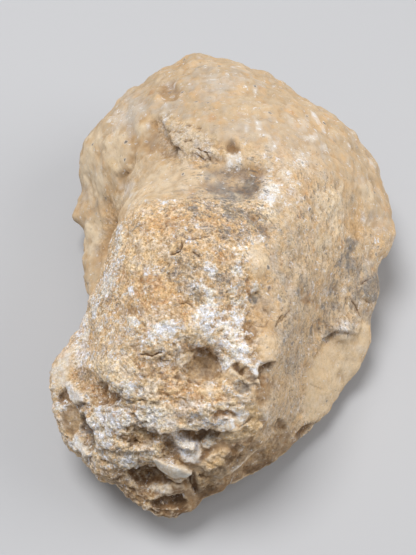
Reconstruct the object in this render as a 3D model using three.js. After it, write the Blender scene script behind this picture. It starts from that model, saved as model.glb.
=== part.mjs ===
// A geode as it is found: one closed, unopened stone with a limestone skin.
// A domed back lobe falls away to a broad right flank and a low ledge on the left. A raised ridge runs
// forward from the crown and breaks off in a rough end face, pitted with hollows.
// Millimetres, +Z up, +X right, +Y from the broken end to the back. The stone rests on a flat spot at z = 0,
// and the origin is under the middle of its box.

import * as THREE from "three";
import { ImprovedNoise } from "three/addons/math/ImprovedNoise.js";
import { mergeVertices } from "three/addons/utils/BufferGeometryUtils.js";

// Driving dimensions.
const BALL_CENTRE = new THREE.Vector3(1, 2, 20); // the ball that is warped into the stone
const BALL_RADII = new THREE.Vector3(37, 58, 25);
const BALL_DETAIL = 20; // each of the icosahedron's 20 faces becomes (detail + 1) squared triangles
const MERGE_WITHIN = 1e-4; // on the ball of radius 1
const HUB = new THREE.Vector3(-2, 0, 9); // an inner point from which every landmark can be seen
const STIFFNESS = 7; // how far a landmark's pull stays level round it
const FLAT_SPOT_Z = 0;

// Landmarks: points that the stone's surface passes through, before its hollows, bumps and lumps.
// The widest line round the stone, from the near tip along the right side, the back and the left ledge.
const OUTLINE = [
  [-12, -58, 7], [-6, -55, 6], [0, -50, 5], [7, -45, 4], [13, -41, 4], [21, -34, 5], [27, -26, 6],
  [29, -19, 7], [30, -12, 9], [31, -6, 11], [35, 0, 14], [37, 7, 16], [35, 15, 19], [30, 27, 22],
  [24, 35, 22], [17, 40, 24], [10, 45, 26], [3, 46, 28], [-7, 47, 30], [-11, 45, 29],
  [-16, 44, 27], [-23, 36, 27], [-29, 31, 24], [-35, 26, 18], [-34, 19, 13], [-36, 13, 9],
  [-34, 7, 7], [-34, 1, 7], [-32, -7, 7],
];
// The sharp left shoulder of the ridge, down to the near left corner and along the foot of the end face.
const RIDGE_LEFT = [
  [-21, -14, 37], [-24, -21, 32], [-27, -24, 26], [-28, -26, 22], [-30, -29, 20], [-33, -33, 19],
  [-34, -37, 18], [-33, -42, 16], [-32, -46, 13], [-28, -49, 11], [-25, -52, 9], [-20, -54, 8],
  [-17, -56, 8],
];
// The top of the ridge, from the crown down the broken end face.
const RIDGE = [
  [-8, -18, 44], [-1, -21, 43], [-15, -19, 42], [-10, -28, 41], [-2, -31, 39], [-15, -39, 35],
  [-20, -43, 30], [-6, -37, 36], [2, -36, 34], [-10, -47, 29], [-15, -50, 25], [-24, -48, 21],
  [-8, -52, 21], [-12, -56, 13], [-27, -41, 22],
];
// The right shoulder of the ridge and of the end face.
const RIDGE_RIGHT = [
  [4, -31, 36], [5, -38, 33], [7, -41, 29], [4, -47, 26], [2, -50, 21], [-1, -53, 16],
  [-6, -55, 11],
];
// The steep right flank, its crease and the smooth flange below it.
const FLANK = [
  [8, -21, 38], [17, -15, 30], [24, -12, 21], [12, -26, 29], [19, -20, 18], [23, -24, 12],
  [18, -30, 12], [14, -36, 11], [10, -43, 10], [4, -48, 9], [-2, -53, 9], [23, -28, 8],
  [11, -33, 23],
];
// The domed back lobe, and the saddle between it and the crown.
const BACK = [
  [-7, 28, 37], [-18, 24, 34], [4, 15, 40], [13, 7, 39], [-9, 6, 41], [3, 1, 43], [21, -1, 33],
  [12, -8, 40], [28, -2, 22], [-1, -6, 40], [-12, -3, 39],
];
// The valley between the ridge and the low left ledge.
const VALLEY = [
  [-27, 0, 12], [-25, 6, 18], [-23, 8, 25], [-19, 8, 32], [-30, 5, 12], [-30, 12, 16],
  [-30, 17, 22], [-26, 21, 28],
];
// Sides that turn under, below the widest line.
const SIDES = [
  [-29, -19, 14], [-31, -25, 12], [-32, -32, 9], [-30, -41, 7], [32, 0, 8], [32, -6, 7],
  [36, 8, 9], [-4, 54, 15], [-19, 50, 14], [12, 49, 15], [24, 40, 13], [33, 26, 9], [36, 12, 8],
  [32, -4, 5], [-32, 8, 4], [-31, 28, 6],
];
// The underside: the middle reaches below z = 0, where it is cut off flat.
const UNDERSIDE = [
  [0, 2, -2], [0, 20, -1], [0, -16, -1], [-12, 2, -1], [12, 2, -1], [0, 44, 7], [-10, -50, 4],
  [-21, 22, 4], [24, 20, 4], [25, -8, 3], [-22, -20, 3], [-16, 42, 8], [16, 38, 8], [-22, -40, 4],
  [4, -40, 3],
];
// Hollows (depth > 0) and bumps (depth < 0) that are pressed in along the surface's normal.
const PRESSES = [
  { name: "main hollow of the end face", at: [-6, -43, 33], radius: 7, depth: 3.6 },
  { name: "left terrace hollow", at: [-24, -43, 25], radius: 6, depth: 2 },
  { name: "upper cavity of the left corner", at: [-31, -41, 17], radius: 4.5, depth: 1.8 },
  { name: "lower cavity of the left corner", at: [-29, -46, 15], radius: 5, depth: 1.8 },
  { name: "undercut below the main shelf", at: [-7, -51, 23], radius: 6.5, depth: 3 },
  { name: "undercut above the near tip", at: [-15, -55, 15], radius: 6, depth: 2.6 },
  { name: "hollow of the near tip", at: [-10, -57, 11], radius: 4, depth: 1.6 },
  { name: "notch in the right shoulder", at: [8, -41, 27], radius: 4.5, depth: 2 },
  { name: "pocket of the end face", at: [-15, -50, 25], radius: 4.5, depth: 1.5 },
  { name: "scarp above the saddle", at: [-14, 4, 38], radius: 6, depth: 1.2 },
  { name: "white bump on the flank", at: [22, -22, 14], radius: 5, depth: -1 },
  { name: "shard on the end face", at: [-11, -54, 18], radius: 4, depth: -1.2 },
  { name: "boss on the back lobe", at: [8, 12, 40], radius: 14, depth: -0.8 },
];

// Lumps all over: noise of two sizes, as the length of one lump and its height.
const LUMPS = [
  { length: 15, height: 1.1 },
  { length: 6, height: 0.5 },
];

// The point of the ball on the ray from the hub through a point.
function onBall(point) {
  const start = HUB.clone().sub(BALL_CENTRE).divide(BALL_RADII);
  const run = point.clone().sub(HUB).divide(BALL_RADII);
  const a = run.lengthSq();
  const b = start.dot(run);
  const c = start.lengthSq() - 1;
  const reach = (-b + Math.sqrt(b * b - a * c)) / a;
  return point.clone().sub(HUB).multiplyScalar(reach).add(HUB);
}

// Solves matrix * x = rows for x by Gauss-Jordan elimination, where each row is a vector.
function solve(matrix, rows) {
  const n = matrix.length;
  for (let column = 0; column < n; column++) {
    let pivot = column;
    for (let i = column + 1; i < n; i++) {
      if (Math.abs(matrix[i][column]) > Math.abs(matrix[pivot][column])) pivot = i;
    }
    [matrix[column], matrix[pivot]] = [matrix[pivot], matrix[column]];
    [rows[column], rows[pivot]] = [rows[pivot], rows[column]];
    for (let i = 0; i < n; i++) {
      if (i === column) continue;
      const share = matrix[i][column] / matrix[column][column];
      for (let j = column; j < n; j++) matrix[i][j] -= share * matrix[column][j];
      rows[i].addScaledVector(rows[column], -share);
    }
  }
  return rows.map((row, i) => row.divideScalar(matrix[i][i]));
}

const pull = (a, b) => Math.hypot(a.distanceTo(b), STIFFNESS);

// Hardy's multiquadric: a smooth shift of space. It carries each landmark's place on the ball to the landmark.
function warpThrough(landmarks) {
  const sources = landmarks.map(onBall);
  const matrix = sources.map((a) => sources.map((b) => pull(a, b)));
  const shifts = landmarks.map((landmark, i) => landmark.clone().sub(sources[i]));
  const weights = solve(matrix, shifts);
  return (point) => {
    const moved = point.clone();
    sources.forEach((source, i) => moved.addScaledVector(weights[i], pull(point, source)));
    return moved;
  };
}

// Calls change(point, index) on every vertex and keeps what it returns.
function moveVertices(geometry, change) {
  const position = geometry.getAttribute("position");
  const point = new THREE.Vector3();
  for (let i = 0; i < position.count; i++) {
    const moved = change(point.fromBufferAttribute(position, i), i);
    position.setXYZ(i, moved.x, moved.y, moved.z);
  }
  geometry.computeVertexNormals();
}

// How far the hollows and bumps press the surface in at a point.
function pressAt(point) {
  let depth = 0;
  for (const press of PRESSES) {
    const share = point.distanceTo(new THREE.Vector3(...press.at)) / press.radius;
    if (share < 1) depth += press.depth * (1 - share * share) ** 2;
  }
  return depth;
}

function lumpAt(point) {
  return LUMPS.reduce((height, lump) => {
    const place = point.clone().divideScalar(lump.length);
    return height + lump.height * noise.noise(place.x, place.y, place.z);
  }, 0);
}

function stoneGeometry() {
  const ball = new THREE.IcosahedronGeometry(1, BALL_DETAIL);
  ball.deleteAttribute("normal");
  ball.deleteAttribute("uv");
  const geometry = mergeVertices(ball, MERGE_WITHIN);
  const marks = [OUTLINE, RIDGE_LEFT, RIDGE, RIDGE_RIGHT, FLANK, BACK, VALLEY, SIDES, UNDERSIDE].flat();
  const warp = warpThrough(marks.map((xyz) => new THREE.Vector3(...xyz)));
  moveVertices(geometry, (point) => warp(point.multiply(BALL_RADII).add(BALL_CENTRE)));

  const normals = geometry.getAttribute("normal").clone();
  const outward = new THREE.Vector3();
  moveVertices(geometry, (point, i) => {
    outward.fromBufferAttribute(normals, i);
    const moved = point.clone().addScaledVector(outward, lumpAt(point) - pressAt(point));
    moved.z = Math.max(moved.z, FLAT_SPOT_Z);
    return moved;
  });

  geometry.computeBoundingBox();
  const middle = geometry.boundingBox.getCenter(new THREE.Vector3());
  geometry.translate(-middle.x, -middle.y, 0);
  return geometry;
}

const noise = new ImprovedNoise();
const limestone = new THREE.MeshStandardMaterial({ color: 0xd2b48c, roughness: 0.95, metalness: 0 });
const stone = new THREE.Mesh(stoneGeometry(), limestone);
stone.name = "geode";

const geode = new THREE.Group();
geode.add(stone);

export default geode;
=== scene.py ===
"""A geode as it is found: an unopened stone with a dry limestone crust.

The CAD stone is copied, subdivided and carved. Its outline is moved a little, then come the broken end's
ledges, hollows and chips, then the creases, and last the grain. Places that the camera sees are given as
pixels of the 416 x 555 frame: a point of the stone belongs to one where it projects inside it and faces the
camera. The sides that the camera does not see get the same kinds of ground from noise alone.
Lengths are millimetres until the mesh is made, which is in metres.
"""
import math

import bpy
import numpy as np
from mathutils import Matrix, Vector


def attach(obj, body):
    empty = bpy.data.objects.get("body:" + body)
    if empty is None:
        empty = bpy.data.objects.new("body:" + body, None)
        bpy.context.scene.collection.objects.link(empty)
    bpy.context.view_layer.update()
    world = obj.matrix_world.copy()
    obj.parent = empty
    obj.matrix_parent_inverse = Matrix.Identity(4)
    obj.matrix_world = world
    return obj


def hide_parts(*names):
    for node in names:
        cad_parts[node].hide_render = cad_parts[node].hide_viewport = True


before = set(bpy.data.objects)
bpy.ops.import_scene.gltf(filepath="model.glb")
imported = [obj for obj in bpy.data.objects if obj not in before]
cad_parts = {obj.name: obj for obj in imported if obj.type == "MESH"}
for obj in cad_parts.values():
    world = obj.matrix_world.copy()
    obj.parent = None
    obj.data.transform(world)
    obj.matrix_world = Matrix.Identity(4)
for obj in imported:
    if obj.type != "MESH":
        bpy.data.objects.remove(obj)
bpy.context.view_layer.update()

MM = 0.001  # metres in a millimetre
NODE = "geode"
SLOT = "limestone_crust"
PHOTO_WIDTH, PHOTO_HEIGHT = 416, 555  # the frame, in pixels

# The camera, in millimetres and degrees.
CAMERA_TARGET = np.array([-5.7, -10.3, 18.0])
CAMERA_ELEVATION = math.radians(52)
CAMERA_FIELD = math.radians(40)  # over the frame's height
CAMERA_DISTANCE = 158.0


# ------ camera

FORWARD = np.array([0.0, math.cos(CAMERA_ELEVATION), -math.sin(CAMERA_ELEVATION)])
RIGHT = np.array([1.0, 0.0, 0.0])
UP = np.cross(RIGHT, FORWARD)
EYE = CAMERA_TARGET - FORWARD * CAMERA_DISTANCE
FOCAL = PHOTO_HEIGHT / 2 / math.tan(CAMERA_FIELD / 2)  # pixels


def project(points):
    """Points in millimetres to (u, v) pixels."""
    arm = points - EYE
    depth = arm @ FORWARD
    u = PHOTO_WIDTH / 2 + FOCAL * (arm @ RIGHT) / depth
    v = PHOTO_HEIGHT / 2 - FOCAL * (arm @ UP) / depth
    return np.stack([u, v], -1)


def make_camera():
    data = bpy.data.cameras.new("camera")
    data.sensor_fit = "VERTICAL"
    data.angle_y = CAMERA_FIELD
    data.clip_start = 0.01
    data.clip_end = 10
    camera = bpy.data.objects.new("camera", data)
    bpy.context.scene.collection.objects.link(camera)
    camera.location = Vector(EYE * MM)
    camera.rotation_euler = Vector(FORWARD).to_track_quat("-Z", "Y").to_euler()
    bpy.context.scene.camera = camera


# ------ noise
# A call names the points, the size of the lumps in mm, a seed and, where it has them, the number of octaves.

def scramble(h):
    h = (h ^ (h >> np.uint32(15))) * np.uint32(0x2C1B3C6D)
    h = (h ^ (h >> np.uint32(12))) * np.uint32(0x297A2D39)
    return h ^ (h >> np.uint32(15))


def cell_hash(cell, seed):
    """Whole-number cells to whole pseudo-random numbers, the same on every run.

    The multipliers are large odd numbers, as is usual for a hash.
    """
    c = (cell.astype(np.int64) & 0xFFFFFFFF).astype(np.uint32)
    salt = np.uint32((seed * 0x9E3779B9) & 0xFFFFFFFF)
    h = c[:, 0] * np.uint32(0x8DA6B343) + salt
    h = scramble(h) + c[:, 1] * np.uint32(0xD8163841)
    h = scramble(h) + c[:, 2] * np.uint32(0xCB1AB31F)
    return scramble(h)


def cell_random(cell, seed):
    return cell_hash(cell, seed) / 2.0 ** 32


EDGES = np.array([(x, y, z) for x in (-1, 0, 1) for y in (-1, 0, 1) for z in (-1, 0, 1)
                  if abs(x) + abs(y) + abs(z) == 2], float)
CORNERS = [(x, y, z) for x in (0, 1) for y in (0, 1) for z in (0, 1)]
NEIGHBOURS = [(x, y, z) for x in (-1, 0, 1) for y in (-1, 0, 1) for z in (-1, 0, 1)]
SEED_STEP = 17.31  # cells from one seed's noise to the next one's
NOISE_GAIN = 1.1  # brings gradient noise to about -1 to 1
FAR = 9.0  # cells: further than any nearest point


def noise(points, size, seed):
    """Gradient noise, about -1 to 1, with lumps of that size."""
    p = points / size + seed * SEED_STEP
    base = np.floor(p)
    t = p - base
    ease = t * t * t * (t * (t * 6 - 15) + 10)
    total = np.zeros(len(p))
    for corner in CORNERS:
        corner = np.array(corner, float)
        gradient = EDGES[cell_hash(base + corner, seed) % np.uint32(len(EDGES))]
        weight = np.prod(np.where(corner > 0, ease, 1 - ease), axis=1)
        total += weight * np.sum(gradient * (t - corner), axis=1)
    return total * NOISE_GAIN


def layered(points, size, seed, octaves=4, gain=0.5):
    """Noise of several sizes, each half the one before, about -1 to 1."""
    total, height, whole = 0.0, 1.0, 0.0
    for k in range(octaves):
        total = total + height * noise(points, size / 2 ** k, seed + k)
        whole += height
        height *= gain
    return total / whole


def ridged(points, size, seed, octaves=3):
    """Noise with sharp crests, 0 to 1."""
    total, height, whole = 0.0, 1.0, 0.0
    for k in range(octaves):
        total = total + height * (1 - np.abs(noise(points, size / 2 ** k, seed + k))) ** 2
        whole += height
        height *= 0.5
    return total / whole


def chips(points, size, seed):
    """Cells round scattered points, as chips of broken stone.

    Gives each point's distance to the nearest border, its cell's own number, and its height on a plane that
    is tilted in a way of the cell's own, about -1 to 1.
    """
    p = points / size
    base = np.floor(p)
    nearest = np.full(len(p), FAR)
    second = np.full(len(p), FAR)
    number = np.zeros(len(p))
    slope = np.zeros(len(p))
    for offset in NEIGHBOURS:
        cell = base + offset
        centre = cell + np.stack([cell_random(cell, seed + k) for k in range(3)], -1)
        away = p - centre
        distance = np.linalg.norm(away, axis=1)
        closer = distance < nearest
        second = np.where(closer, nearest, np.minimum(second, distance))
        number = np.where(closer, cell_random(cell, seed + 3), number)
        tilt = EDGES[cell_hash(cell, seed + 4) % np.uint32(len(EDGES))]
        slope = np.where(closer, np.sum(tilt * away, axis=1), slope)
        nearest = np.where(closer, distance, nearest)
    return second - nearest, number, slope


def smoothstep(low, high, x):
    t = np.clip((x - low) / (high - low), 0, 1)
    return t * t * (3 - 2 * t)


# ------ mesh work on arrays

def welded(mesh):
    """The mesh's points in millimetres, with the doubles at its split normals joined, and its triangles."""
    co = np.empty(len(mesh.vertices) * 3, np.float32)
    mesh.vertices.foreach_get("co", co)
    mesh.calc_loop_triangles()
    tri = np.empty(len(mesh.loop_triangles) * 3, np.int32)
    mesh.loop_triangles.foreach_get("vertices", tri)
    points = co.reshape(-1, 3).astype(float) / MM
    _, first, index = np.unique(np.round(points, 3), axis=0, return_index=True, return_inverse=True)
    faces = index.reshape(-1)[tri].reshape(-1, 3)
    return points[first], faces


def edges_of(faces):
    """(edges, and for each face the number of its edges 01, 12 and 20)."""
    pairs = np.sort(faces[:, [[0, 1], [1, 2], [2, 0]]].reshape(-1, 2), axis=1)
    key = pairs[:, 0].astype(np.int64) * (faces.max() + 1) + pairs[:, 1]
    _, first, index = np.unique(key, return_index=True, return_inverse=True)
    return pairs[first], index.reshape(-1, 3)


def quartered(faces, middles):
    a, b, c = faces.T
    ab, bc, ca = middles.T
    return np.concatenate([
        np.stack([a, ab, ca], -1), np.stack([ab, b, bc], -1),
        np.stack([ca, bc, c], -1), np.stack([ab, bc, ca], -1)])


def loop_subdivided(points, faces):
    """One step of Loop's scheme on a closed mesh of triangles."""
    edges, of_face = edges_of(faces)
    opposite = sum(gathered(of_face[:, k], points[faces[:, (k + 2) % 3]], len(edges)) for k in range(3))
    middle = 0.375 * (points[edges[:, 0]] + points[edges[:, 1]]) + 0.125 * opposite
    around = sum(gathered(edges[:, k], points[edges[:, 1 - k]], len(points)) for k in range(2))
    valence = np.bincount(edges.reshape(-1), minlength=len(points))[:, None]
    beta = 3 / (8 * valence)
    kept = (1 - valence * beta) * points + beta * around
    return np.concatenate([kept, middle]), quartered(faces, of_face + len(points))


def refined(points, faces, wanted):
    """Quarters the wanted triangles, and splits their neighbours so that the mesh stays closed."""
    edges, of_face = edges_of(faces)
    split = np.zeros(len(edges), bool)
    while True:
        split[of_face[wanted].reshape(-1)] = True
        count = split[of_face].sum(1)
        grown = count >= 2
        if np.array_equal(grown, wanted):
            break
        wanted = grown
    number = np.full(len(edges), -1)
    number[split] = len(points) + np.arange(split.sum())
    middle = points[edges[split]].mean(1)
    out = [faces[count == 0], quartered(faces[wanted], number[of_face[wanted]])]
    for k in range(3):
        half = (count == 1) & split[of_face[:, k]]
        a, b, c = (faces[half][:, (k + j) % 3] for j in range(3))
        m = number[of_face[half][:, k]]
        out += [np.stack([a, m, c], -1), np.stack([m, b, c], -1)]
    return np.concatenate([points, middle]), np.concatenate(out)


def gathered(index, values, count):
    """The sum of the values at each place that an index names."""
    if values.ndim == 1:
        return np.bincount(index, values, count)
    return np.stack([np.bincount(index, values[:, k], count) for k in range(values.shape[1])], -1)


def relaxed(values, faces, passes, share=0.5):
    """Values moved towards the mean of their neighbours, that many times."""
    edges, _ = edges_of(faces)
    index = np.concatenate([edges[:, 0], edges[:, 1]])
    other = np.concatenate([edges[:, 1], edges[:, 0]])
    valence = np.bincount(index, minlength=len(values)).reshape((-1,) + (1,) * (values.ndim - 1))
    for _ in range(passes):
        values = values + share * (gathered(index, values[other], len(values)) / valence - values)
    return values


def normals_of(points, faces):
    a, b, c = (points[faces[:, k]] for k in range(3))
    face_normal = np.cross(b - a, c - a)
    total = sum(gathered(faces[:, k], face_normal, len(points)) for k in range(3))
    return total / (np.linalg.norm(total, axis=1, keepdims=True) + 1e-12)


# ------ colours

def linear(*rgb):
    """A colour as seen on a screen, 0 to 255, to linear light."""
    c = np.array(rgb) / 255
    return np.where(c <= 0.04045, c / 12.92, ((c + 0.055) / 1.055) ** 2.4)


# The last colour in this list is painted shade: the grey laid in the core of the dark cavity by the ribs.
COLOURS = {name: linear(*rgb) for name, rgb in {
    "BUFF": (216, 190, 156), "CREAM": (228, 208, 178), "SKIN": (208, 186, 156), "APRICOT": (216, 170, 118),
    "OCHRE": (210, 172, 124), "SAND": (214, 190, 156), "TAN": (186, 152, 112), "CHALK": (229, 227, 225),
    "FROST": (220, 225, 220), "RUST": (184, 134, 88), "UMBER": (104, 76, 50), "BROWN": (158, 124, 88),
    "SLATE": (128, 122, 116), "ASH": (186, 176, 164), "DUST": (176, 150, 118), "PALE": (222, 212, 197),
    "GREY": (154, 146, 137), "PEARL": (212, 208, 206), "GOLD": (222, 193, 150), "IRON": (96, 99, 106)
}.items()}
COLOURS["CHALKY"] = 0.4 * COLOURS["CREAM"] + 0.55 * COLOURS["CHALK"]  # the ground between white grains


def colour_of(text):
    """A colour's name, such as TAN, or TAN*0.9 for a darker one, to its linear light."""
    name, _, factor = text.partition("*")
    return COLOURS[name] * float(factor) if factor else COLOURS[name]


# ------ places seen from the front
# A row of these tables is "name: how it looks: its pixels", and it may go on in an indented line.

# How an area looks: its relief in mm, its rim in pixels, its colour and how much of that is laid on. Then may
# come lean, which makes the relief stronger to one side, calm, which smooths away the grain, and crumble,
# which breaks it into chips. Broad areas come first: a later one lies over an earlier one.
# Painted shade in these rows: the brown of the dent of the top, and the dark of the scarp hole and the back
# hole. The rows named shade are painted shade too.
BACK = """
upper left bloom: 0 8 CHALK 0.55: 112,116 124,105 140,102 148,112 136,122 122,130 112,138
valley: -0.7 7 TAN 0.75: 122,126 131,123 138,134 136,156 131,176 126,194 120,212 114,232 106,252 98,272 94,262
  102,244 106,222 108,200 118,184 126,164 124,146
scarp: -2.2 7 TAN 0.75 lean=0.3,-0.5: 138,146 144,134 151,122 157,114 163,122 168,132 172,146 178,158 168,158
  152,154 141,152
scarp shade: -0.3 6 BROWN 0.6: 142,144 150,132 158,124 168,134 172,148 176,156 160,152 146,152
left bump: 0.9 8 CREAM 0.9: 102,154 108,138 118,130 127,142 128,158 121,173 112,174 103,166
left bump shade: -0.5 4 TAN 0.7: 128,154 134,158 130,170 123,178 118,178 122,172
dent of the top: -1.7 5 BROWN 0.75: 162,84 172,82 180,90 174,98 164,98 158,92
grey dent of the top: -0.2 3 SLATE 0.5: 168,84 175,84 178,90 172,91
upper left knob: 0.4 8 none 0.8: 150,92 152,76 166,68 180,66 178,80 164,84 156,94
small dent of the top: -0.6 3 TAN 0.6: 180,66 186,63 189,68 184,73
white of the scarp: 0.3 2 CHALK 1: 161,116 165,113 169,119 166,124 161,121
scarp hole: -0.8 2 UMBER 0.7: 160,131 166,130 170,134 166,136 161,134
bright sill: 0.5 4 SAND 0.9: 139,130 143,120 149,117 151,122 144,131 140,137
block of the scarp: 1.4 3 CREAM 0.5: 170,135 177,133 184,137 185,147 177,150 172,143
top bloom: 0 8 ASH 0.4: 190,66 210,64 222,68 218,80 204,86 192,78
top bloom, low: 0 8 CHALK 0.3: 206,78 222,76 232,84 222,94 208,92
back hole: -2.4 3 UMBER 0.95 lean=-0.3,-0.3: 225,145 230,140 236,142 240,149 236,154 228,151
white under the hole: 0.4 5 CHALK 0.85: 221,158 229,153 238,152 242,159 238,168 228,166
white steps: 0.5 3 CHALK 0.6: 190,151 200,148 212,147 218,152 214,158 204,154 194,155
pale of the left ledge: 0 8 CREAM 0.6: 88,166 102,170 108,186 102,204 92,204 84,186
saddle: -0.9 9 ASH 0.5: 203,186 214,178 212,170 228,165 246,166 258,163 265,171 261,182 260,192 252,199
  240,202 226,198 212,193
grey of the saddle: -0.3 6 SLATE 1.1: 206,188 218,180 214,172 228,167 246,169 258,168 262,182 254,197 240,199
  226,196 212,193
dark of the saddle: -0.3 5 SLATE*0.97 0.75 crumble=0.5: 236,186 244,178 254,176 261,183 260,190 250,194
  238,192
tan in the saddle: 0.4 3 OCHRE 0.7: 224,178 232,176 240,181 236,185 228,184
brown rim of the saddle: -0.4 4 TAN 0.7: 244,168 252,163 262,166 264,176 258,184 255,174
white beside the saddle: 0.3 5 CHALK 0.9: 264,186 271,181 278,186 278,198 272,208 264,210 259,204 262,196
back white: 0.2 5 CHALK 0.8: 263,137 268,133 273,140 279,144 276,149 268,146
back white: 0.2 3 CHALK 0.9: 254,120 257,121 262,131 256,132
back white: 0.2 5 CHALK 0.85: 295,158 302,150 310,153 306,162 296,168
back white: 0.1 6 CHALK 0.45: 292,118 299,119 307,125 303,130 296,126
back white: 0.3 4 CHALK 0.8: 304,136 314,133 320,138 312,144
back white: 0.3 3 CHALK 0.8: 320,145 326,144 327,150 321,151
back white: 0.2 4 CHALK 0.7: 258,154 264,152 267,157 262,160
back white: 0.2 4 CHALK 0.6: 280,171 292,170 294,176 284,178
back white: 0.2 3 ASH 0.6: 322,170 327,172 325,182 321,178
back grey: -0.3 3 TAN 0.5: 270,132 278,130 278,140 271,140
back grey: -0.3 4 TAN 0.6: 306,178 314,176 312,190 304,198 300,192
back grey: -0.3 3 DUST 0.6: 335,178 341,178 340,190 336,190
back grey: -0.4 3 SLATE 0.6: 273,204 283,204 286,211 278,214
back line: -0.2 2 SLATE 0.5: 258,117 268,118 272,122 262,121
blooms of the back: 0 9 ASH 0.55: 122,92 140,90 152,104 180,100 184,116 160,116 140,114 124,110
blooms of the back: 0 9 ASH 0.5: 188,80 210,84 236,68 246,80 226,98 200,100
blooms of the back: 0 9 ASH 0.5: 212,126 232,124 246,120 270,122 272,138 246,140 222,144
scarp, white flecks: 0 8 CHALK 0.55: 158,120 176,124 196,128 206,138 214,152 196,158 176,153 164,140
scarp, dark flecks: 0 8 SLATE 0.45: 146,128 160,122 184,128 200,142 190,156 168,150 150,148
left grey: -0.3 5 ASH 0.6: 126,108 138,112 136,124 140,136 130,134 124,122
left of the saddle: -0.3 7 BROWN 0.45: 166,172 190,164 210,168 214,178 200,188 174,188
crumbled scarp: 0 8 SAND 0.3 crumble=1.2: 150,120 164,112 180,120 198,124 204,132 222,142 232,154 216,164
  196,166 176,164 160,158
left edge: 0 8 CREAM 0.8: 78,160 88,140 98,128 104,140 98,160 86,184 78,184
shoulder of the valley: 0.3 5 CREAM 0.7: 120,186 134,180 138,192 128,204 120,200
ledge, pale: 0.2 5 CREAM 0.8: 84,226 94,222 98,240 92,256 84,250
foot of the left bump: 0.2 5 CREAM 0.8: 90,178 103,175 110,186 102,197 91,195
ledge, ash: 0 5 ASH 0.5: 78,186 87,184 90,200 80,203
pale of the scarp's foot: 0.2 5 CREAM 0.85: 128,164 137,160 144,166 140,176 130,177
dark of the right: -0.2 4 TAN*0.9 0.6: 286,186 295,184 298,194 292,200 285,196
warm of the scarp: 0 4 OCHRE 0.5: 164,134 174,132 178,142 170,146 163,142
warm of the left: 0 5 OCHRE 0.7: 140,116 150,113 156,120 150,127 141,125
warm of the edge: 0 5 OCHRE 0.6: 92,146 101,144 103,156 96,160
warm of the back: 0 5 OCHRE 0.6: 314,118 326,118 328,130 318,132
grain of the valley: 0 8 TAN 0.3 crumble=0.7: 104,196 116,188 128,194 124,214 114,232 106,250 100,262 98,244
  102,220
crumbled left: 0 8 TAN 0.2 crumble=0.4: 128,160 146,150 160,156 150,172 138,188 126,192
pale under the saddle: 0.1 4 CREAM 0.8: 236,192 246,192 249,201 238,202
pale saddle: 0.2 9 CREAM 0.6: 136,186 160,166 184,164 204,172 200,188 176,190 150,198 134,208
foot of the shoulder, pale: 0.2 4 CREAM 0.8: 112,196 121,192 125,203 117,209 111,205
shoulder of the saddle: 0.2 5 CREAM 0.6: 118,216 126,200 140,190 134,206 126,218
band of the saddle: -0.1 3 SLATE*0.9 0.75 crumble=0.3: 210,184 222,183 234,186 244,186 244,191 228,193 212,191
grey west of the saddle: -0.1 3 GREY 0.75: 204,171 216,170 219,178 207,179
cool of the saddle: -0.1 3 SLATE*0.85 0.7: 242,175 255,174 258,188 252,192 242,190
warm in the saddle: 0.2 3 BUFF 0.7: 230,174 241,177 243,184 235,184
pale in the saddle: 0.1 3 BUFF 0.5: 217,172 224,172 225,179 218,179
rim of the saddle: 0.1 3 OCHRE 0.5: 250,165 259,166 260,174 252,173
white of the saddle's rim: 0.1 3 PEARL 0.6: 258,174 266,174 267,186 260,185
ear: 0 5 TAN 0.5: 70,208 82,202 83,216 74,219
warm of the bump: 0 5 GOLD 0.7: 108,162 117,160 120,170 111,175
light of the edge: 0 5 CREAM*1.05 0.8: 78,168 88,162 92,180 84,186 79,180
light of the left: 0 5 CREAM 0.8: 134,126 145,124 147,134 138,137
light of the shoulder: 0 5 PEARL 0.7: 122,186 132,184 134,194 125,197
shade of the valley: -0.1 5 TAN 0.7: 114,212 124,210 126,222 116,224
light of the ledge: 0 6 CREAM 0.8: 86,224 101,220 103,236 92,246
bloom by the saddle: 0 9 CHALK 0.2: 262,170 284,164 300,176 296,196 280,204 264,186
bloom of the back: 0 12 ASH 0.3: 284,120 320,132 330,156 306,178 282,176 262,150
"""

# Painted shade in these rows: the dark of the flank hole and the rim hole, and the underside rim, which is
# painted darker along the bottom. Flank shade is painted shade too.
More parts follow.
